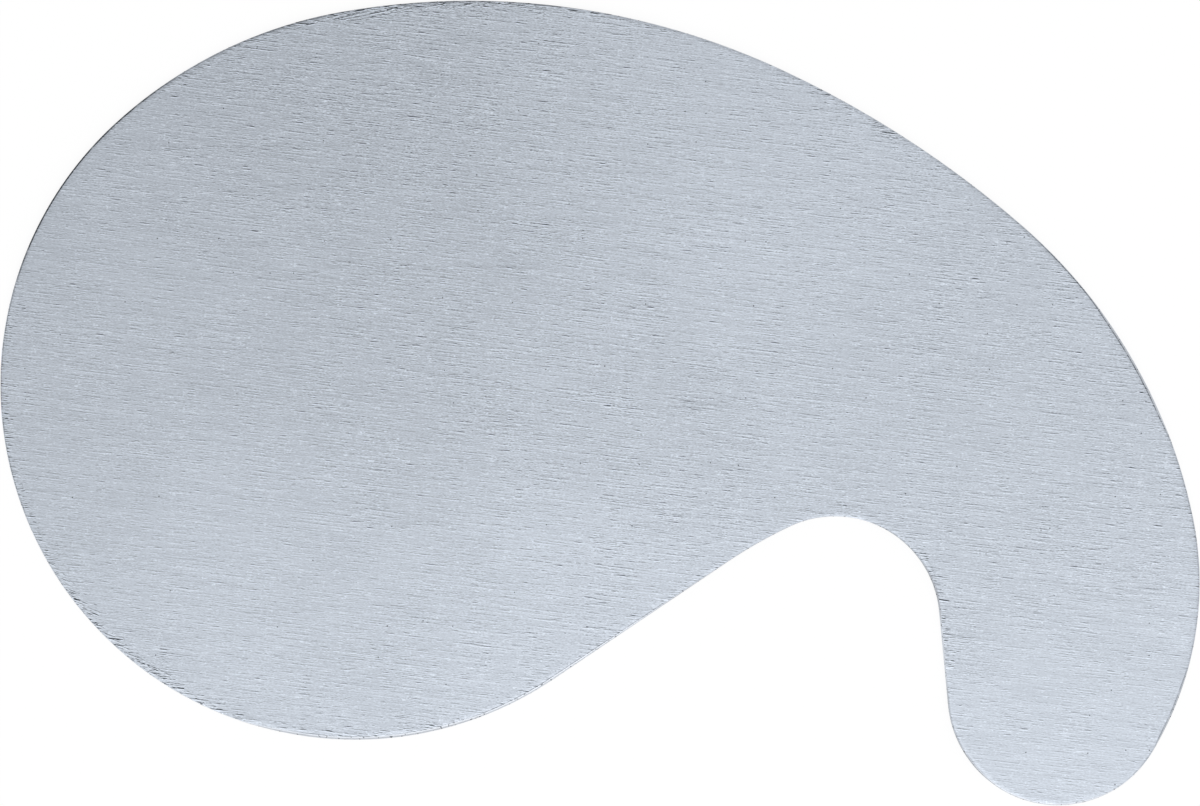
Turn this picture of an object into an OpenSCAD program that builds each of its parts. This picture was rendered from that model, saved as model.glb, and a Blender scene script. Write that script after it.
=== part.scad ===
// Swan-neck card scraper: one flat sheet of hardened spring steel with a curved outline.
// The sheet lies on its face. +X runs from the big round end to the nose, +Y from the nose up to the back
// and +Z through the sheet. The origin is on the underside, below the middle of the outline's box.
//
// The outline is a closed clockwise walk of arcs and two straight edges, each tangent to the next.
// Every angle is that of the outward normal, in degrees from +X, where a stretch of the outline begins.

/* [Sheet] */
// Thickness of the steel sheet
sheet_thickness = 0.8; // [0.4:0.1:1.6]

/* [Round end] */
// Radius of the big round end
round_end_radius = 35.5; // [30:0.5:42]
// Radius of the shoulder, which eases the round end into the back
shoulder_radius = 45; // [36:0.5:54]
// Normal where the round end becomes the shoulder
shoulder_angle = 132.5; // [126:0.5:139]

/* [Back] */
// Normal where the shoulder becomes the crown, the highest stretch of the back
crown_angle = 100; // [95:0.5:105]
// Radius of the slope that falls from the crown to the neck
slope_radius = 103; // [80:1:130]
// Normal where the crown becomes the slope
slope_angle = 65; // [61:0.5:69]
// Normal where the slope becomes the neck
neck_angle = 49; // [45:0.5:53]
// Radius of the heel, the steep stretch behind the nose
heel_radius = 32.5; // [26:0.5:40]
// Normal where the neck becomes the heel
heel_angle = 11.5; // [7:0.5:16]

/* [Nose] */
// Radius of the nose
nose_radius = 11; // [8:0.5:14]
// Normal where the heel becomes the nose
nose_angle = -31.5; // [-36:0.5:-27]
// Length of the straight inner edge of the nose
inner_edge_length = 9.5; // [6:0.5:14]
// Normal of the inner edge
inner_edge_angle = -174.5; // [-180:0.5:-169]

/* [Throat] */
// Radius of the throat, the tight hollow beside the nose
throat_radius = 10.5; // [8:0.5:13]
// Radius of the run-out, the wide hollow that leaves the throat
run_out_radius = 46; // [36:1:58]
// Normal where the throat becomes the run-out
run_out_angle = -65; // [-70:0.5:-60]
// Length of the straight flank, from the run-out down to the round end
flank_length = 21; // [15:0.5:27]
// Normal of the flank
flank_angle = -56; // [-59:0.5:-53]

/* [Hidden] */

// Colour of the ground steel
steel_grey = [0.75, 0.78, 0.83];
// Largest turn between two points of an arc, in degrees
arc_step = 1.5;
// Turn from an edge's outward normal to the way it is walked
quarter_turn = -90;
full_turn = 360;

// Point of a circle of radius 1 at an angle
function unit(angle) = [cos(angle), sin(angle)];

// Way from the start to the end of an arc of radius 1 between two normals
function arc_way(from, to) = unit(to) - unit(from);

// An arc is [radius, first normal, last normal], with a minus before the radius of a hollow one.
// A straight edge is [length, normal].
function is_edge(stretch) = len(stretch) == 2;

// Way from the start to the end of a stretch
function way(stretch) = is_edge(stretch)
    ? stretch[0] * unit(stretch[1] + quarter_turn)
    : stretch[0] * arc_way(stretch[1], stretch[2]);

// Sum of the ways of the stretches before a given one, or of them all
function walked(stretches, count) = count == 0
    ? [0, 0]
    : walked(stretches, count - 1) + way(stretches[count - 1]);

// Points of a stretch from its start, without its end, where the next stretch starts
function stretch_points(stretch, start) = is_edge(stretch)
    ? [start]
    : let (
        turn = stretch[2] - stretch[1],
        steps = ceil(abs(turn) / arc_step)
    )
    [for (i = [0 : steps - 1]) start + stretch[0] * arc_way(stretch[1], stretch[1] + turn * i / steps)];

// Stretches that have a size of their own
round_end = [round_end_radius, flank_angle + full_turn, shoulder_angle];
shoulder = [shoulder_radius, shoulder_angle, crown_angle];
slope = [slope_radius, slope_angle, neck_angle];
heel = [heel_radius, heel_angle, nose_angle];
nose = [nose_radius, nose_angle, inner_edge_angle];
inner_edge = [inner_edge_length, inner_edge_angle];
throat = [-throat_radius, inner_edge_angle, run_out_angle];
run_out = [-run_out_radius, run_out_angle, flank_angle];
flank = [flank_length, flank_angle];
sized = [round_end, shoulder, slope, heel, nose, inner_edge, throat, run_out, flank];

// The crown and the neck take the radii that bring the walk back to its start
gap = -walked(sized, len(sized));
crown_way = arc_way(crown_angle, slope_angle);
neck_way = arc_way(neck_angle, heel_angle);
crown_radius = cross(gap, neck_way) / cross(crown_way, neck_way);
neck_radius = cross(crown_way, gap) / cross(crown_way, neck_way);
crown = [crown_radius, crown_angle, slope_angle];
neck = [neck_radius, neck_angle, heel_angle];

// The whole outline, from the flank's foot round over the back to the nose and the throat
walk = [round_end, shoulder, crown, slope, neck, heel, nose, inner_edge, throat, run_out, flank];
outline = [for (i = [0 : len(walk) - 1]) each stretch_points(walk[i], walked(walk, i))];

// Middle of the outline's box
outline_x = [for (point = outline) point.x];
outline_y = [for (point = outline) point.y];
middle = [min(outline_x) + max(outline_x), min(outline_y) + max(outline_y)] / 2;

// The whole scraper: blade, grip and edge in one sheet
module blade() {
    color(steel_grey)
        linear_extrude(sheet_thickness)
            translate(-middle)
                polygon(outline);
}

blade();
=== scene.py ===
"""Swan-neck card scraper: a ground sheet of spring steel, dressed and lit as in the photograph.

All sizes are in metres unless a name says millimetres or degrees. +X runs from the big round end to the
nose, +Y from the nose up to the back and +Z through the sheet.
"""

import logging
import math
from dataclasses import dataclass, replace
from enum import Enum

import bpy
import numpy as np
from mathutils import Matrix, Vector


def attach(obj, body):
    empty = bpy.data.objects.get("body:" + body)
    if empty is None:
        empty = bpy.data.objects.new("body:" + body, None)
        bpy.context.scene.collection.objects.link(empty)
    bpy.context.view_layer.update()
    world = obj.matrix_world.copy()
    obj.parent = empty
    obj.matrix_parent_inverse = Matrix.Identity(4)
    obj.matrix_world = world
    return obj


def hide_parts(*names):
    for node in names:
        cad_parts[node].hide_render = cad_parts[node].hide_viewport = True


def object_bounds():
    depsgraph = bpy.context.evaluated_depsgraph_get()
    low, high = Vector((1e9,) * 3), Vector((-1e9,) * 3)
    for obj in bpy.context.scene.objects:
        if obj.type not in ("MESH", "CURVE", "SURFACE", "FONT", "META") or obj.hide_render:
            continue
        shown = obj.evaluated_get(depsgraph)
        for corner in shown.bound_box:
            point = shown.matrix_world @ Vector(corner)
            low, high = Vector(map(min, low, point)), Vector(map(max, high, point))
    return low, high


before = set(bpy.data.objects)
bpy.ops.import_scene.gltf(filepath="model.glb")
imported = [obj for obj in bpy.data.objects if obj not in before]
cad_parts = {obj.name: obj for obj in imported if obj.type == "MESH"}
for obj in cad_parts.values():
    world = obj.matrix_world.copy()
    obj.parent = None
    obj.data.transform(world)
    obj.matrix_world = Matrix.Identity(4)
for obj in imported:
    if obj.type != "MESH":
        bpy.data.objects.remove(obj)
CAD_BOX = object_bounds()

LOG = logging.getLogger("card_scraper")
MM = 0.001
PER_MM = 1 / MM
PHOTO_WIDTH_PX = 1200
PHOTO_PX_PER_MM = 10


def linear(hex_colour: str) -> tuple[float, float, float, float]:
    """Turn an sRGB hex colour into the linear colour that a shader takes.

    Args:
        hex_colour: six hex digits after a hash sign.

    Returns:
        Linear red, green and blue, with an alpha of 1.
    """
    shares = [int(hex_colour[i:i + 2], 16) / 255 for i in (1, 3, 5)]
    return (*[s / 12.92 if s <= 0.04045 else ((s + 0.055) / 1.055) ** 2.4 for s in shares], 1.0)


def add_node(tree: bpy.types.NodeTree, kind: str, values: dict | None = None, links: dict | None = None,
             **settings: object) -> bpy.types.Node:
    """Add a shader node with its settings, its constant inputs and the links into it.

    Args:
        tree: the node tree that takes the node.
        kind: Blender's name for the type of node.
        values: input name or number to constant value.
        links: input name or number to the socket that feeds it.
        settings: the node's own properties.

    Returns:
        The new node.
    """
    node = tree.nodes.new(kind)
    for name, value in settings.items():
        setattr(node, name, value)
    for key, value in (values or {}).items():
        node.inputs[key].default_value = value
    for key, socket in (links or {}).items():
        tree.links.new(socket, node.inputs[key])
    return node


def only_active(thing: bpy.types.Object) -> None:
    """Deselect everything, then select one object and make it the active one."""
    bpy.ops.object.select_all(action="DESELECT")
    thing.select_set(True)
    bpy.context.view_layer.objects.active = thing


class Surface(Enum):
    """The finishes on the blade, in the order of its material slots."""

    FACE = 0
    RIM = 1


class Spread(Enum):
    """Where on the face a kind of mark lies."""

    EVEN = "all over"
    PATCHES = "in loose patches"
    RIM = "along the worn stretches of the rim"


@dataclass(frozen=True)
class Spot:
    """A place on the blade, in millimetres, and how much of something there is around it."""

    x_mm: float
    y_mm: float
    reach_mm: float
    amount: float

    def at(self, x: float, y: float) -> float:
        """Give the amount at a point: all of it within half the reach, and none past the reach."""
        gap_mm = math.hypot(x * PER_MM - self.x_mm, y * PER_MM - self.y_mm)
        share = min(1.0, max(0.0, 2.0 - 2.0 * gap_mm / self.reach_mm))
        return self.amount * share * share * (3.0 - 2.0 * share)


def around(tree: bpy.types.NodeTree, place: bpy.types.NodeSocket, spots: tuple[Spot, ...],
           least: float = 0.0, joined: str = "MAXIMUM") -> bpy.types.NodeSocket:
    """Add the nodes that give, at each point, what some spots amount to there.

    Args:
        tree: the material's node tree.
        place: the place on the blade.
        spots: the spots.
        least: the amount away from each spot.
        joined: the maths operation that joins the spots' amounts.

    Returns:
        The socket with the amount.
    """
    total = None
    for spot in spots:
        middle = (spot.x_mm * MM, spot.y_mm * MM, 0.0)
        reach = spot.reach_mm * MM
        gap = add_node(tree, "ShaderNodeVectorMath", {1: middle}, {0: place},
                       operation="DISTANCE").outputs["Value"]
        limits = {"From Min": reach, "From Max": reach / 2, "To Min": least, "To Max": spot.amount}
        amount = add_node(tree, "ShaderNodeMapRange", limits, {"Value": gap},
                          interpolation_type="SMOOTHSTEP").outputs[0]
        if total:
            amount = add_node(tree, "ShaderNodeMath", links={0: total, 1: amount},
                              operation=joined).outputs[0]
        total = amount
    return total


@dataclass(frozen=True)
class GrindLayer:
    """One kind of mark that the grinding belt left, as a stretched noise cut off at two levels.

    A mark begins at the start level and is whole at the full one. Below it lies a painted highlight of
    the other tone, standing for the lit side of its groove, and the mark is broken into dashes of about
    the broken length. The balance is taken off a layer's marks, so that they leave the mean tone as it
    was.
    """

    length_mm: float
    width_mm: float
    lay_deg: float
    start: float
    full: float
    strength: float
    spread: Spread
    # How much of the mark is painted again, reversed, just below it as a painted highlight on the lit side
    # of the groove.
    lit_lip_share: float = 0.0
    broken_mm: float = 0.0
    balance: float = 0.0


@dataclass(frozen=True)
class ScuffGroup:
    """Scuffs at the rim that lie one way, and the spots where they are."""

    lay_deg: float
    spots: tuple[Spot, ...]


@dataclass(frozen=True)
class GroundSteel:
    """Hardened carbon spring steel, its face ground lengthwise on a belt and left dry.

    To the eye that is a pale blue-grey satin: short light and dark grinding dashes that nearly follow
    the sheet's length and come in patches, each dark dash with a painted highlight below it for the lit
    side of its groove, faint cloudy tones, pinhead pits, scuffs at the worn stretches of the rim, and a
    thin dark line of painted shade along stretches of the edge break. The real grind is finer than a
    pixel, so its marks are drawn as coarse as the photograph shows them.
    """

    name: str = "ground_spring_steel"
    light: str = "#e8f0fb"
    dark: str = "#2b3138"
    roughness: float = 0.38
    relief: float = 0.006 * MM
    lay_deg: float = 6.0
    ground_tone: float = 0.691
    # Soft lighter and darker tones on the face.
    clouds: tuple[Spot, ...] = (
        Spot(-19.0, 16.0, 34, -0.034),
        Spot(-40.0, 15.0, 14, 0.020),
        Spot(13.0, 31.0, 30, 0.044),
        Spot(-2.0, 5.0, 10, 0.026),
        Spot(6.0, -4.0, 13, -0.025),
        Spot(-3.0, -22.0, 24, 0.024),
        Spot(-21.0, -19.0, 14, -0.020),
        Spot(-33.0, -16.0, 18, 0.016),
        Spot(39.0, -9.0, 24, -0.020),
    )
    # Where the grain is stronger or fainter than elsewhere.
    keen: tuple[Spot, ...] = (
        Spot(-14.0, 46.0, 34, 0.36),
        Spot(28.0, 24.0, 12, 0.13),
        Spot(-6.0, 0.0, 12, 0.10),
        Spot(-52.0, -2.0, 30, -0.17),
        Spot(-28.0, -20.0, 18, -0.15),
        Spot(42.0, -10.0, 16, -0.10),
        Spot(48.0, -38.0, 22, -0.34),
    )
    patch_mm: tuple[float, float] = (5.0, 6.0)
    patch_cut: tuple[float, float] = (0.35, 0.65)
    patch_least: float = 0.75
    # How far below each dark mark its painted highlight lies.
    lit_lip_mm: float = 0.11
    break_width_mm: float = 0.25
    break_depth: float = 0.22
    # Faint broad bands, the base grain, then three kinds of dark dashes, each with a painted highlight
    # below it, and one of light ones.
    layers: tuple[GrindLayer, ...] = (
        GrindLayer(7.00, 0.700, 6.0, 0.30, 0.70, 0.04, Spread.EVEN),
        GrindLayer(0.25, 0.060, 6.0, 0.25, 0.75, 0.20, Spread.PATCHES, balance=0.5),
        GrindLayer(2.00, 0.050, 5.0, 0.69, 0.81, -0.45, Spread.PATCHES, lit_lip_share=0.9, broken_mm=0.22),
        GrindLayer(6.00, 0.050, 7.0, 0.64, 0.76, -0.35, Spread.PATCHES, lit_lip_share=0.9, broken_mm=0.32),
        GrindLayer(1.20, 0.050, 6.0, 0.70, 0.82, 0.52, Spread.PATCHES, broken_mm=0.19),
        GrindLayer(1.60, 0.070, 6.0, 0.74, 0.80, -0.70, Spread.PATCHES, lit_lip_share=0.8),
    )
    pit_pitch_mm: float = 3.2
    pit_mm: float = 0.16
    pit_share: float = 0.25
    pit_depth: float = 0.7
    rim_attribute: str = "rim_distance"
    scuff_reach_mm: float = 1.8
    scuff_full_mm: float = 0.4
    scuff_least: float = 0.35
    scuff_most: float = 2.0
    scuff_spared: float = 0.40
    # Dark scuffs near the rim, each with a painted highlight below it for the lit side of its groove.
    scuff: GrindLayer = GrindLayer(2.20, 0.075, 7.0, 0.53, 0.63, -1.00, Spread.RIM, lit_lip_share=0.7,
                                   broken_mm=0.4)
    # Most scuffs lie as the grain does, some on the crown and on the round end lie across it.
    scuffed: tuple[ScuffGroup, ...] = (
        ScuffGroup(7.0, (
            Spot(-9.0, -30.2, 16, 1.05),  # flank, lower end
            Spot(-24.0, -33.6, 14, 1.15),  # round end, foot
            Spot(-43.0, -28.4, 2.5, 2.0),  # round end, a knock
            Spot(-44.5, -27.5, 15, 1.3),  # round end, lower side
            Spot(-52.5, -20.0, 15, 1.3),  # round end, lower side
            Spot(-59.8, -1.5, 18, 1.5),  # round end, far side
            Spot(-36.0, 36.0, 12, 1.25),  # shoulder
            Spot(-12.0, 40.0, 18, 1.6),  # crown
            Spot(28.2, 27.2, 2.5, 2.0),  # slope, a knock
            Spot(23.6, 29.9, 5, 1.4),  # slope
            Spot(54.0, 1.0, 7, 1.0),  # heel
            Spot(34.0, -20.5, 10, 1.5),  # inner edge
            Spot(1.0, -23.7, 16, 1.05),  # flank
        )),
        ScuffGroup(-11.0, (
            Spot(-22.0, 39.0, 7, 2.0),  # crown, where it is worst
            Spot(-18.0, 40.0, 18, 1.45),  # crown
        )),
        ScuffGroup(22.0, (
            Spot(-45.5, -26.5, 5, 1.7),  # round end, lower side
            Spot(-50.0, -22.5, 12, 1.5),  # round end, lower side
        )),
    )
    # The thin dark line where the face meets the eased rim is painted shade, for the rounded edge turning
    # away from the lamps on the listed stretches.
    line_mm: float = 0.12
    shade_line_depth: float = 0.6
    shade_line_break_mm: float = 0.8
    shade_line_break_cut: tuple[float, float] = (0.15, 0.45)
    shade_line_spots: tuple[Spot, ...] = (
        Spot(-52.5, 23.8, 17, 1.1),  # round end, upper side
        Spot(-60.0, 3.3, 20, 0.45),  # round end, far side
        Spot(-37.0, 35.6, 12, 0.40),  # shoulder
        Spot(-19.5, 40.0, 26, 0.60),  # crown
        Spot(40.5, 19.2, 10, 0.25),  # neck
        Spot(51.3, 7.5, 16, 0.85),  # heel, upper half
        Spot(59.6, -21.7, 26, 0.30),  # heel, lower half
        Spot(-2.5, -26.1, 18, 0.6),  # flank
        Spot(-24.0, -33.6, 14, 0.3),  # round end, foot
        Spot(-52.5, -20.0, 20, 0.15),  # round end, lower side
        Spot(57.0, -30.5, 6, 0.6),  # nose, outer side
        Spot(14.0, -15.0, 14, 0.15),  # run-out
        Spot(31.5, -15.3, 8, 0.35),  # throat
        Spot(36.5, -33.0, 7, 0.30),  # inner edge, foot
    )

    def material(self) -> bpy.types.Material:
        """Make the material.

        Returns:
            The finished material.
        """
        made = bpy.data.materials.new(self.name)
        made.use_nodes = True
        tree = made.node_tree
        tree.nodes.clear()
        place = add_node(tree, "ShaderNodeTexCoord").outputs["Object"]
        edge = add_node(tree, "ShaderNodeAttribute", attribute_name=self.rim_attribute).outputs["Fac"]
        patches = self.noise(tree, place, *self.patch_mm, self.lay_deg)
        patches = self.cut(tree, patches, *self.patch_cut, self.patch_least)
        keen = around(tree, place, self.keen, joined="ADD")
        patches = add_node(tree, "ShaderNodeMath", links={0: keen, 1: patches, 2: patches},
                           operation="MULTIPLY_ADD").outputs[0]
        clouds = around(tree, place, self.clouds, joined="ADD")
        tone = add_node(tree, "ShaderNodeMath", {1: self.ground_tone}, {0: clouds},
                        operation="ADD").outputs[0]
        for layer in self.layers:
            mark = self.dashes(tree, place, layer)
            if layer.spread is Spread.PATCHES:
                mark = add_node(tree, "ShaderNodeMath", links={0: mark, 1: patches},
                                operation="MULTIPLY").outputs[0]
            tone = add_node(tree, "ShaderNodeMath", {1: layer.strength}, {0: mark, 2: tone},
                            operation="MULTIPLY_ADD").outputs[0]
        for group in self.scuffed:
            wear = self.wear(tree, place, edge, group.spots)
            mark = self.dashes(tree, place, replace(self.scuff, lay_deg=group.lay_deg), wear)
            tone = add_node(tree, "ShaderNodeMath", {1: self.scuff.strength}, {0: mark, 2: tone},
                            operation="MULTIPLY_ADD").outputs[0]
        tone = self.pitted(tree, place, tone)
        # Paint the thin line of shade along the edge break.
        tone = self.shade_edge_line(tree, place, edge, tone)
        colour = add_node(tree, "ShaderNodeMix", {6: linear(self.dark), 7: linear(self.light)}, {0: tone},
                          data_type="RGBA").outputs[2]
        bump = add_node(tree, "ShaderNodeBump", {"Strength": 1.0, "Distance": self.relief},
                        {"Height": tone}).outputs[0]
        shader = add_node(tree, "ShaderNodeBsdfPrincipled", {"Metallic": 1.0, "Roughness": self.roughness},
                          {"Base Color": colour, "Normal": bump}).outputs[0]
        add_node(tree, "ShaderNodeOutputMaterial", links={"Surface": shader})
        return made

    def cut(self, tree: bpy.types.NodeTree, value: bpy.types.NodeSocket, start: float, full: float,
            least: float = 0.0, most: float = 1.0) -> bpy.types.NodeSocket:
        """Stretch a value between two levels and cut it off outside them.

        Args:
            tree: the material's node tree.
            value: the value to stretch.
            start: the level that becomes the least.
            full: the level that becomes the most.
            least: what comes out at the start and before it.
            most: what comes out at the full level and past it.

        Returns:
            The socket with the stretched value.
        """
        return add_node(tree, "ShaderNodeMapRange", {"From Min": start, "From Max": full, "To Min": least,
                                                     "To Max": most}, {"Value": value}).outputs[0]

    def noise(self, tree: bpy.types.NodeTree, place: bpy.types.NodeSocket, length_mm: float,
              width_mm: float, lay_deg: float, lowered_mm: float = 0.0) -> bpy.types.NodeSocket:
        """Add a noise stretched along the grain.

        Args:
            tree: the material's node tree.
            place: the place on the blade.
            length_mm: length of the noise's features along the grain.
            width_mm: width of the features across it.
            lay_deg: how far the grain turns down to the right from the blade's length.
            lowered_mm: how far the noise is moved down the sheet.

        Returns:
            The socket with the noise, about 0.5 on average.
        """
        grain = add_node(tree, "ShaderNodeMapping", {"Location": (0, -lowered_mm * MM, 0),
                                                     "Rotation": (0, 0, math.radians(-lay_deg)),
                                                     "Scale": (length_mm * MM, width_mm * MM, MM)},
                         {"Vector": place}, vector_type="TEXTURE").outputs[0]
        return add_node(tree, "ShaderNodeTexNoise", {"Scale": 1.0, "Detail": 0.0},
                        {"Vector": grain}).outputs[0]

    def marks(self, tree: bpy.types.NodeTree, place: bpy.types.NodeSocket, layer: GrindLayer,
              wear: bpy.types.NodeSocket | None = None, lowered_mm: float = 0.0) -> bpy.types.NodeSocket:
        """Add one layer's marks, long ones broken into dashes that stay in line.

        Args:
            tree: the material's node tree.
            place: the place on the blade.
            layer: the kind of mark.
            wear: how worn the face is there, for marks that are fewer where it is less.
            lowered_mm: how far the marks are moved down the sheet.

        Returns:
            The socket that is 1 on the marks and 0 off them, less the layer's balance.
        """
        noise = self.noise(tree, place, layer.length_mm, layer.width_mm, layer.lay_deg, lowered_mm)
        if layer.broken_mm:
            gaps = self.noise(tree, place, layer.broken_mm, self.break_width_mm, layer.lay_deg)
            gaps = self.cut(tree, gaps, 0.0, 1.0, -self.break_depth, self.break_depth)
            noise = add_node(tree, "ShaderNodeMath", links={0: noise, 1: gaps},
                             operation="ADD").outputs[0]
        if wear:
            spared = self.cut(tree, wear, 0.0, self.scuff_most, -self.scuff_spared, 0.0)
            noise = add_node(tree, "ShaderNodeMath", links={0: noise, 1: spared},
                             operation="ADD").outputs[0]
        return self.cut(tree, noise, layer.start, layer.full, -layer.balance, 1.0 - layer.balance)

    def dashes(self, tree: bpy.types.NodeTree, place: bpy.types.NodeSocket, layer: GrindLayer,
               wear: bpy.types.NodeSocket | None = None) -> bpy.types.NodeSocket:
        """Add one layer's marks with a painted highlight below each of them, for the lit side of its
        groove.

        Args:
            tree: the material's node tree.
            place: the place on the blade.
            layer: the kind of mark.
            wear: how worn the face is there, for marks that are fewer where it is less.

        Returns:
            The socket that is 1 on the marks, 0 off them and below 0 on their painted highlights.
        """
        mark = self.marks(tree, place, layer, wear)
        if not layer.lit_lip_share:
            return mark
        # Painted highlight: the same marks moved down the sheet and taken off the tone, as the lit side of
        # each groove.
        lit_lip = self.marks(tree, place, layer, wear, self.lit_lip_mm)
        return add_node(tree, "ShaderNodeMath", {1: -layer.lit_lip_share}, {0: lit_lip, 2: mark},
                        operation="MULTIPLY_ADD").outputs[0]

    def wear(self, tree: bpy.types.NodeTree, place: bpy.types.NodeSocket, edge: bpy.types.NodeSocket,
             spots: tuple[Spot, ...]) -> bpy.types.NodeSocket:
        """Add the wear near the rim, which fades away from the face's edge.

        Args:
            tree: the material's node tree.
            place: the place on the blade.
            edge: the distance from the face's edge.
            spots: where the rim is worn.

        Returns:
            The socket with the amount of wear.
        """
        near = self.cut(tree, edge, self.scuff_reach_mm * MM, self.scuff_full_mm * MM)
        worn = around(tree, place, spots, self.scuff_least)
        return add_node(tree, "ShaderNodeMath", links={0: near, 1: worn}, operation="MULTIPLY").outputs[0]

    def shade_edge_line(self, tree: bpy.types.NodeTree, place: bpy.types.NodeSocket, edge: bpy.types.NodeSocket,
              tone: bpy.types.NodeSocket) -> bpy.types.NodeSocket:
        """Draw the thin broken line of painted shade where the face meets the eased rim, along the
        stretches that show one.

        Args:
            tree: the material's node tree.
            place: the place on the blade.
            edge: the distance from the face's edge.
            tone: the tone without the line.

        Returns:
            The tone with the line.
        """
        near = self.cut(tree, edge, self.line_mm * MM, self.line_mm * MM / 2)
        there = around(tree, place, self.shade_line_spots)
        breaks = self.noise(tree, place, self.shade_line_break_mm, self.shade_line_break_mm, self.lay_deg)
        breaks = self.cut(tree, breaks, *self.shade_line_break_cut)
        for mask in (there, breaks):
            near = add_node(tree, "ShaderNodeMath", links={0: near, 1: mask},
                            operation="MULTIPLY").outputs[0]
        return add_node(tree, "ShaderNodeMath", {1: -self.shade_line_depth}, {0: near, 2: tone},
                        operation="MULTIPLY_ADD").outputs[0]

    def pitted(self, tree: bpy.types.NodeTree, place: bpy.types.NodeSocket,
               tone: bpy.types.NodeSocket) -> bpy.types.NodeSocket:
        """Sink small dark pits into the tone, in some of the cells of a loose net.

        Args:
            tree: the material's node tree.
            place: the place on the blade.
            tone: the tone without pits.

        Returns:
            The tone with pits.
        """
        cells = add_node(tree, "ShaderNodeTexVoronoi", {"Scale": PER_MM / self.pit_pitch_mm},
                         {"Vector": place}, voronoi_dimensions="2D")
        reach = self.pit_mm / 2 / self.pit_pitch_mm
        dot = self.cut(tree, cells.outputs["Distance"], reach, reach / 2)
        chosen = add_node(tree, "ShaderNodeMath", {1: self.pit_share}, {0: cells.outputs["Color"]},
                          operation="LESS_THAN").outputs[0]
        pit = add_node(tree, "ShaderNodeMath", links={0: dot, 1: chosen}, operation="MULTIPLY").outputs[0]
        return add_node(tree, "ShaderNodeMath", {1: -self.pit_depth}, {0: pit, 2: tone},
                        operation="MULTIPLY_ADD").outputs[0]


@dataclass(frozen=True)
class FiledSteel:
    """The same steel on the rim, filed and stoned along its length.

    To the eye that is a narrow pale band with fine lines along it, a few dark nicks, and darker
    stretches of painted shade where the rounded rim turns away from the lamps.
    """

    name: str = "filed_spring_steel"
    light: str = "#eff4fc"
    dark: str = "#2b3138"
    roughness: float = 0.42
    line_mm: tuple[float, float, float] = (1.2, 1.2, 0.05)
    tone: float = 0.90
    line_strength: float = 0.30
    nick_mm: float = 0.25
    nick_depth: float = 0.6
    nick_cut: tuple[float, float] = (0.69, 0.74)
    # Darker stretches of the rim: painted shade where it turns away from the lamps.
    painted_rim_shade: tuple[Spot, ...] = (
        Spot(-52.5, 23.8, 17, 0.80),  # round end, upper side
        Spot(-19.5, 40.0, 26, 0.40),  # crown
        Spot(52.5, 5.4, 9.5, 0.05),  # heel
        Spot(57.0, -30.5, 6, 0.15),  # nose, outer side
        Spot(-22.5, -33.6, 16, 0.12),  # round end, foot
        Spot(14.0, -15.0, 14, 0.20),  # run-out
        Spot(31.5, -15.3, 8, 0.30),  # throat
        Spot(36.5, -33.0, 7, 0.25),  # inner edge, foot
    )

    def material(self) -> bpy.types.Material:
        """Make the material.

        Returns:
            The finished material.
        """
        made = bpy.data.materials.new(self.name)
        made.use_nodes = True
        tree = made.node_tree
        tree.nodes.clear()
        place = add_node(tree, "ShaderNodeTexCoord").outputs["Object"]
        along = add_node(tree, "ShaderNodeMapping", {"Scale": tuple(PER_MM / s for s in self.line_mm)},
                         {"Vector": place}).outputs[0]
        lines = add_node(tree, "ShaderNodeTexNoise", {"Scale": 1.0, "Detail": 2.0},
                         {"Vector": along}).outputs[0]
        tone = add_node(tree, "ShaderNodeMapRange", {"To Min": self.tone - self.line_strength / 2,
                                                     "To Max": self.tone + self.line_strength / 2},
                        {"Value": lines}).outputs[0]
        specks = add_node(tree, "ShaderNodeTexNoise", {"Scale": PER_MM / self.nick_mm, "Detail": 0.0},
                          {"Vector": place}).outputs[0]
        start, full = self.nick_cut
        limits = {"From Min": start, "From Max": full, "To Max": self.nick_depth}
        nicks = add_node(tree, "ShaderNodeMapRange", limits, {"Value": specks}).outputs[0]
        # Take off the dark nicks, which are real, and the painted shade.
        for nicks_and_shade in (nicks, around(tree, place, self.painted_rim_shade)):
            tone = add_node(tree, "ShaderNodeMath", links={0: tone, 1: nicks_and_shade},
                            operation="SUBTRACT").outputs[0]
        colour = add_node(tree, "ShaderNodeMix", {6: linear(self.dark), 7: linear(self.light)}, {0: tone},
                          data_type="RGBA").outputs[2]
        shader = add_node(tree, "ShaderNodeBsdfPrincipled", {"Metallic": 1.0, "Roughness": self.roughness},
                          {"Base Color": colour}).outputs[0]
        add_node(tree, "ShaderNodeOutputMaterial", links={"Surface": shader})
        return made


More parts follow.
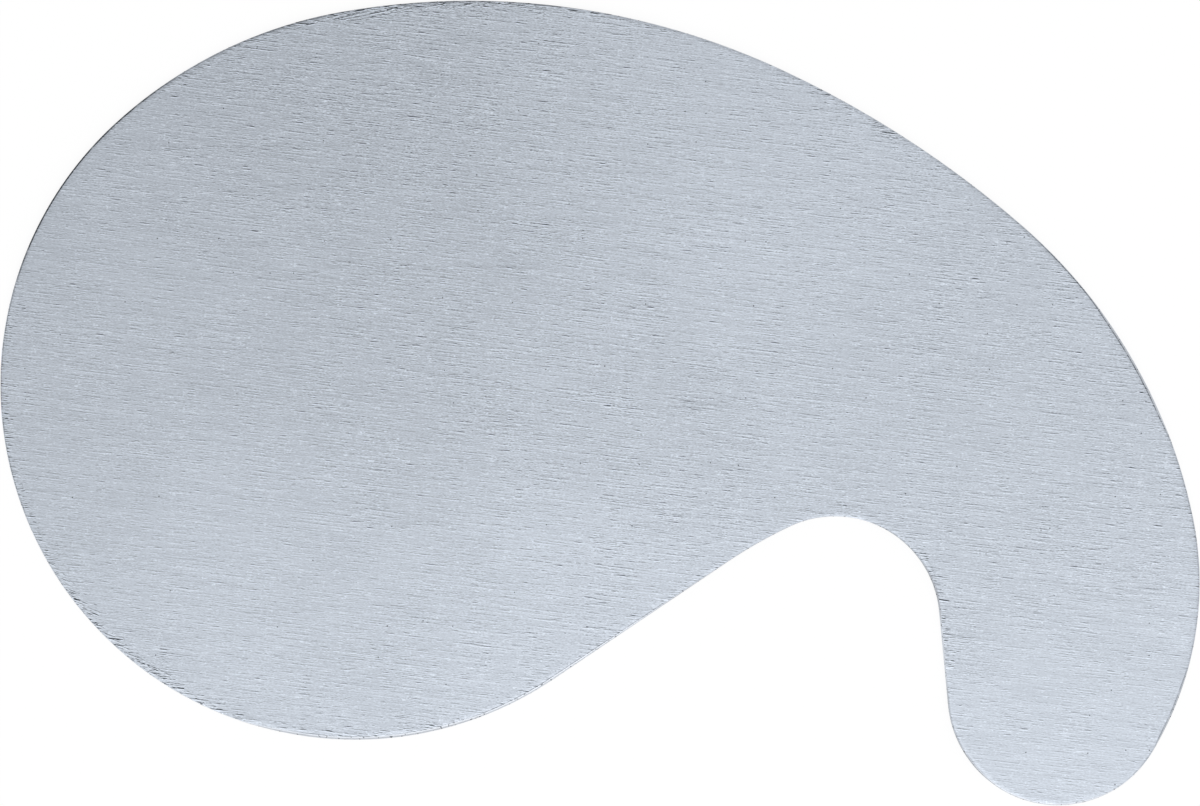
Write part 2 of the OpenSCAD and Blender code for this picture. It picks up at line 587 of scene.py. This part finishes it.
@dataclass
class Blade:
    """The scraper's one piece: the sheet with its rim eased by hand."""

    node: str = "blade"
    name: str = "scraper_blade"
    body: str = "root"
    slot: str = "ground_steel"
    merge_gap: float = 0.001 * MM
    flat_limit_deg: float = 0.4
    ease_least: float = 0.06 * MM
    ease_most: float = 0.30 * MM
    ease_steps: int = 4
    # Where the upper edge is rounded more than elsewhere, and how wide in millimetres.
    eased_mm: tuple[Spot, ...] = (
        Spot(-2.5, -26.1, 14, 0.25),  # flank
        Spot(-10.0, -31.0, 14, 0.25),  # flank, lower end
        Spot(-22.5, -33.6, 16, 0.30),  # round end, foot
        Spot(53.5, 3.5, 9.5, 0.20),  # heel
        Spot(57.0, -30.5, 5, 0.15),  # nose, outer side
        Spot(42.5, -39.7, 12, 0.16),  # nose, tip
        Spot(34.0, -22.3, 9, 0.14),  # inner edge
    )
    rings: tuple[float, ...] = (0.4 * MM, 0.6 * MM, 1.0 * MM, 1.5 * MM)
    face_normal_least: float = 0.999

    def build(self) -> bpy.types.Object:
        """Model the blade over its CAD node and put it in the node's place.

        Returns:
            The finished piece.
        """
        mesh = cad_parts[self.node].data.copy()
        mesh.name = self.name
        piece = bpy.data.objects.new(self.name, mesh)
        bpy.context.scene.collection.objects.link(piece)
        only_active(piece)
        bpy.ops.object.mode_set(mode="EDIT")
        bpy.ops.mesh.select_all(action="SELECT")
        bpy.ops.mesh.remove_doubles(threshold=self.merge_gap)
        bpy.ops.mesh.dissolve_limited(angle_limit=math.radians(self.flat_limit_deg))
        bpy.ops.object.mode_set(mode="OBJECT")
        outline = self.outline(piece)
        self.ease_rim(piece)
        self.narrow_ease(piece, outline)
        self.ring_faces(piece)
        self.store_rim_distance(piece, outline)
        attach(piece, self.body)
        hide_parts(self.node)
        return piece

    def outline(self, piece: bpy.types.Object) -> np.ndarray:
        """Give the corners of the sheet's outline in order.

        Args:
            piece: the blade with square edges.

        Returns:
            One row of x and y for each corner.
        """
        cap = max(piece.data.polygons, key=lambda face: face.normal.z * face.area)
        return np.array([piece.data.vertices[i].co.xy for i in cap.vertices])

    def ease_rim(self, piece: bpy.types.Object) -> None:
        """Round the two long edges of the rim, all the way at the largest width.

        Args:
            piece: the blade with square edges.
        """
        mesh = piece.data
        weights = mesh.attributes.new("bevel_weight_edge", "FLOAT", "EDGE")
        for edge in mesh.edges:
            ends = [mesh.vertices[i].co for i in edge.vertices]
            along_rim = abs(ends[0].z - ends[1].z) < self.merge_gap
            weights.data[edge.index].value = float(along_rim)
        bevel = piece.modifiers.new("eased_rim", "BEVEL")
        bevel.limit_method = "WEIGHT"
        bevel.width = self.ease_most
        bevel.segments = self.ease_steps
        bevel.harden_normals = True
        bevel.material = Surface.RIM.value
        only_active(piece)
        bpy.ops.object.shade_smooth()
        bpy.ops.object.modifier_apply(modifier=bevel.name)

    def nearest(self, piece: bpy.types.Object, outline: np.ndarray) -> tuple[np.ndarray, np.ndarray]:
        """Find the nearest point of the outline to each point of the blade.

        Args:
            piece: the blade.
            outline: the corners of the outline in order.

        Returns:
            The blade's points and their nearest points of the outline, one row of x and y for each.
        """
        points = np.array([v.co.xy for v in piece.data.vertices])
        starts = outline[None, :, :]
        runs = np.roll(outline, -1, axis=0)[None, :, :] - starts
        shares = ((points[:, None, :] - starts) * runs).sum(2) / (runs ** 2).sum(2)
        feet = starts + np.clip(shares, 0.0, 1.0)[:, :, None] * runs
        closest = np.linalg.norm(points[:, None, :] - feet, axis=2).argmin(1)
        return points, feet[np.arange(len(points)), closest]

    def narrow_ease(self, piece: bpy.types.Object, outline: np.ndarray) -> None:
        """Draw the rounded edges in to the width that they have at each place on the rim.

        Args:
            piece: the blade with its rim eased at the largest width.
            outline: the corners of the outline in order.
        """
        low, high = CAD_BOX[0].z, CAD_BOX[1].z
        points, feet = self.nearest(piece, outline)
        for vertex, point, foot in zip(piece.data.vertices, points, feet):
            upper = vertex.co.z > (low + high) / 2
            level = high if upper else low
            share = self.ease_at(foot, upper) / self.ease_most
            vertex.co.xy = foot + (point - foot) * share
            vertex.co.z = level + (vertex.co.z - level) * share

    def ease_at(self, foot: np.ndarray, upper: bool) -> float:
        """Give the width of the eased edge at a place on the rim.

        Args:
            foot: x and y of the place.
            upper: whether the edge is on the upper face.

        Returns:
            The width of the rounding.
        """
        if not upper:
            return self.ease_least
        return max(self.ease_least, *(spot.at(*foot) * MM for spot in self.eased_mm))

    def ring_faces(self, piece: bpy.types.Object) -> None:
        """Inset both faces in a few rings, which carry the distance from the rim.

        Args:
            piece: the blade with its rim eased.
        """
        only_active(piece)
        bpy.context.tool_settings.mesh_select_mode = (False, False, True)
        largest = max(face.area for face in piece.data.polygons)
        for item in (piece.data.vertices, piece.data.edges, piece.data.polygons):
            item.foreach_set("select", [False] * len(item))
        for face in piece.data.polygons:
            face.select = face.area > largest / 2
        bpy.ops.object.mode_set(mode="EDIT")
        for ring in self.rings:
            bpy.ops.mesh.inset(thickness=ring)
        bpy.ops.object.mode_set(mode="OBJECT")

    def store_rim_distance(self, piece: bpy.types.Object, outline: np.ndarray) -> None:
        """Store on each point how far it lies inside the edge of its face.

        Args:
            piece: the blade with its rings.
            outline: the corners of the outline in order.
        """
        middle = (CAD_BOX[0].z + CAD_BOX[1].z) / 2
        points, feet = self.nearest(piece, outline)
        eases = [self.ease_at(foot, v.co.z > middle) for foot, v in zip(feet, piece.data.vertices)]
        distances = np.maximum(0.0, np.linalg.norm(points - feet, axis=1) - eases)
        stored = piece.data.attributes.new(GroundSteel.rim_attribute, "FLOAT", "POINT")
        stored.data.foreach_set("value", distances.astype(np.float32))

    def dress(self, piece: bpy.types.Object) -> None:
        """Give the faces and the rim their finishes.

        Args:
            piece: the finished blade.
        """
        piece.data.materials.clear()
        piece.data.materials.append(GroundSteel().material())
        piece.data.materials.append(FiledSteel().material())
        for face in piece.data.polygons:
            flat = abs(face.normal.z) > self.face_normal_least
            face.material_index = Surface.FACE.value if flat else Surface.RIM.value


@dataclass(frozen=True)
class Softbox:
    """One soft area lamp of the studio."""

    name: str
    place: tuple[float, float, float]
    size: tuple[float, float]
    power: float

    def build(self, aim: Vector) -> bpy.types.Object:
        """Hang the lamp and turn it to the object.

        Args:
            aim: the point that the lamp faces.

        Returns:
            The lamp.
        """
        lamp = bpy.data.lights.new(self.name, "AREA")
        lamp.shape = "RECTANGLE"
        lamp.size, lamp.size_y = self.size
        lamp.energy = self.power
        holder = bpy.data.objects.new(self.name, lamp)
        bpy.context.scene.collection.objects.link(holder)
        holder.location = self.place
        holder.rotation_euler = (aim - Vector(self.place)).to_track_quat("-Z", "Y").to_euler()
        holder.visible_camera = False
        return holder


@dataclass
class Studio:
    """The pale floor, the soft light and the camera that looks straight down, as the photograph does."""

    floor_size: float = 6.0
    floor_colour: str = "#ffffff"
    floor_glow: float = 0.885
    shade_colour: str = "#6e6e6e"
    sky_level: float = 0.64
    lens_mm: float = 120.0
    sensor_mm: float = 36.0
    lamps: tuple[Softbox, ...] = (
        Softbox("overhead", (0.32, -0.12, 0.94), (1.0, 1.0), 1.03),
        Softbox("front", (0.00, -0.57, 0.82), (1.0, 1.0), 2.70),
    )

    def seen(self, tree: bpy.types.NodeTree) -> bpy.types.NodeSocket:
        """Add the nodes that are 1 for camera, mirror and see-through rays and 0 for light on the object.

        Args:
            tree: the node tree that takes them.

        Returns:
            The socket with that value.
        """
        path = add_node(tree, "ShaderNodeLightPath").outputs
        mirrored, passed = path["Is Glossy Ray"], path["Is Transmission Ray"]
        sharp = add_node(tree, "ShaderNodeMath", links={0: mirrored, 1: passed},
                         operation="MAXIMUM").outputs[0]
        return add_node(tree, "ShaderNodeMath", links={0: path["Is Camera Ray"], 1: sharp},
                        operation="MAXIMUM").outputs[0]

    def build_floor(self) -> bpy.types.Object:
        """Lay the white floor under the blade, which glows to the eye but keeps a faint shadow.

        Returns:
            The floor.
        """
        bpy.ops.object.select_all(action="DESELECT")
        bpy.ops.mesh.primitive_plane_add(size=self.floor_size, location=(0, 0, CAD_BOX[0].z))
        floor = bpy.context.object
        floor.name = "floor"
        pale = bpy.data.materials.new("matt_white_paper")
        pale.use_nodes = True
        tree = pale.node_tree
        tree.nodes.clear()
        matt = add_node(tree, "ShaderNodeBsdfDiffuse", {"Color": linear(self.floor_colour)}).outputs[0]
        shade = add_node(tree, "ShaderNodeBsdfDiffuse", {"Color": linear(self.shade_colour)}).outputs[0]
        glow = add_node(tree, "ShaderNodeEmission", {"Strength": self.floor_glow}).outputs[0]
        white = add_node(tree, "ShaderNodeAddShader", links={0: shade, 1: glow}).outputs[0]
        both = add_node(tree, "ShaderNodeMixShader",
                        links={0: self.seen(tree), 1: matt, 2: white}).outputs[0]
        add_node(tree, "ShaderNodeOutputMaterial", links={"Surface": both})
        floor.data.materials.append(pale)
        return floor

    def build_sky(self) -> None:
        """Fill the room with even light, white to the camera and at a plain level on the object."""
        sky = bpy.data.worlds.new("studio")
        bpy.context.scene.world = sky
        sky.use_nodes = True
        tree = sky.node_tree
        tree.nodes.clear()
        camera_ray = add_node(tree, "ShaderNodeLightPath").outputs["Is Camera Ray"]
        level = add_node(tree, "ShaderNodeMapRange", {"To Min": self.sky_level, "To Max": 1.0},
                         {"Value": camera_ray}).outputs[0]
        light = add_node(tree, "ShaderNodeBackground", links={"Strength": level}).outputs[0]
        add_node(tree, "ShaderNodeOutputWorld", links={"Surface": light})

    def build_camera(self) -> bpy.types.Object:
        """Set the camera straight above the blade, so that the photograph's frame just holds it.

        Returns:
            The camera.
        """
        eye = bpy.data.cameras.new("camera")
        eye.lens = self.lens_mm
        eye.sensor_width = self.sensor_mm
        holder = bpy.data.objects.new("camera", eye)
        bpy.context.scene.collection.objects.link(holder)
        middle = (CAD_BOX[0] + CAD_BOX[1]) / 2
        seen_width = PHOTO_WIDTH_PX / PHOTO_PX_PER_MM * MM
        holder.location = (middle.x, middle.y, CAD_BOX[1].z + seen_width * self.lens_mm / self.sensor_mm)
        bpy.context.scene.camera = holder
        return holder

    def build(self) -> None:
        """Build the floor, the sky, the lamps and the camera."""
        aim = (CAD_BOX[0] + CAD_BOX[1]) / 2
        LOG.info("floor: %s", self.build_floor().name)
        self.build_sky()
        for lamp in self.lamps:
            LOG.info("lamp: %s", lamp.build(aim).name)
        LOG.info("camera: %s", self.build_camera().name)
        bpy.context.scene.view_settings.view_transform = "Standard"


def main() -> None:
    """Build the blade and the studio, and report each piece."""
    logging.basicConfig(level=logging.INFO, format="%(name)s: %(message)s")
    blade = Blade()
    piece = blade.build()
    blade.dress(piece)
    LOG.info("piece: %s, %d faces", piece.name, len(piece.data.polygons))
    Studio().build()


if __name__ == "__main__":
    main()
